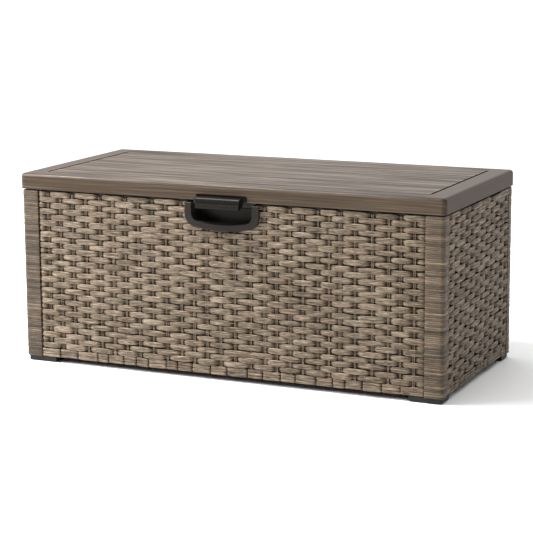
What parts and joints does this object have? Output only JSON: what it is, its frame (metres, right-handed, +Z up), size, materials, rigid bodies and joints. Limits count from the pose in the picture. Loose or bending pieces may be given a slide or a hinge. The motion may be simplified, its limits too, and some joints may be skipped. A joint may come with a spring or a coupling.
{
  "type": "deck storage box",
  "caption": "Long outdoor storage box with woven-look walls, corner posts, a wood-grain lid hinged at the back, and a hooded latch over a finger recess.",
  "frame": {"origin": "on the floor under the middle of the closed box", "axes": "+X to the box's right seen from the front, +Y towards the hinges at the back, +Z up"},
  "size_m": [0.84, 0.4215, 0.36],
  "materials": {
    "woven_resin": "woven strands in mixed taupe browns",
    "grained_resin": "moulded wood grain, brown grey",
    "latch_resin": "fine satin texture, charcoal",
    "black_resin": "satin black",
    "inner_resin": "plain matte dark brown",
    "buffer_rubber": "soft black rubber",
    "steel_fittings": "black zinc"
  },
  "bodies": {
    "tub": {"floor_panel": "inner_resin", "front_panel": "woven_resin", "back_panel": "woven_resin", "left_panel": "woven_resin", "right_panel": "woven_resin", "front_rail": "black_resin", "back_rail": "inner_resin", "left_rail": "inner_resin", "right_rail": "inner_resin", "foot_screws": "steel_fittings", "rail_screws": "steel_fittings", "latch_cup": "latch_resin", "latch_cup_screws": "steel_fittings", "latch_keeper": "latch_resin", "latch_keeper_screws": "steel_fittings", "hinge_wall_screws": "steel_fittings", "corner_post_front_left": "woven_resin", "foot_front_left": "black_resin", "lid_buffer_front_left": "buffer_rubber", "corner_post_front_right": "woven_resin", "foot_front_right": "black_resin", "lid_buffer_front_right": "buffer_rubber", "corner_post_back_left": "woven_resin", "foot_back_left": "black_resin", "lid_buffer_back_left": "buffer_rubber", "corner_post_back_right": "woven_resin", "foot_back_right": "black_resin", "lid_buffer_back_right": "buffer_rubber", "hinge_wall_leaf_left": "steel_fittings", "hinge_pin_left": "steel_fittings", "hinge_wall_leaf_middle": "steel_fittings", "hinge_pin_middle": "steel_fittings", "hinge_wall_leaf_right": "steel_fittings", "hinge_pin_right": "steel_fittings"},
    "lid": {"lid_skin": "grained_resin", "lid_liner": "inner_resin", "lid_liner_screws": "steel_fittings", "hinge_lid_screws": "steel_fittings", "latch_bracket": "latch_resin", "latch_bracket_screws": "steel_fittings", "latch_pin": "steel_fittings", "latch_spring": "steel_fittings", "hinge_lid_leaf_left": "steel_fittings", "hinge_lid_leaf_middle": "steel_fittings", "hinge_lid_leaf_right": "steel_fittings"},
    "latch": {"latch_flap": "latch_resin"}
  },
  "joints": [
    {"name": "lid_hinge", "type": "hinge", "parent": "tub", "child": "lid", "pos_m": [0, 0.201, 0.327], "axis": [-1, 0, 0], "range_deg": [0, 100]},
    {"name": "latch_hinge", "type": "hinge", "parent": "lid", "child": "latch", "pos_m": [0, -0.201, 0.331], "axis": [-1, 0, 0], "range_deg": [0, 40], "stiffness_Nm_per_rad": 0.05, "springref_deg": -28.65}
  ]
}
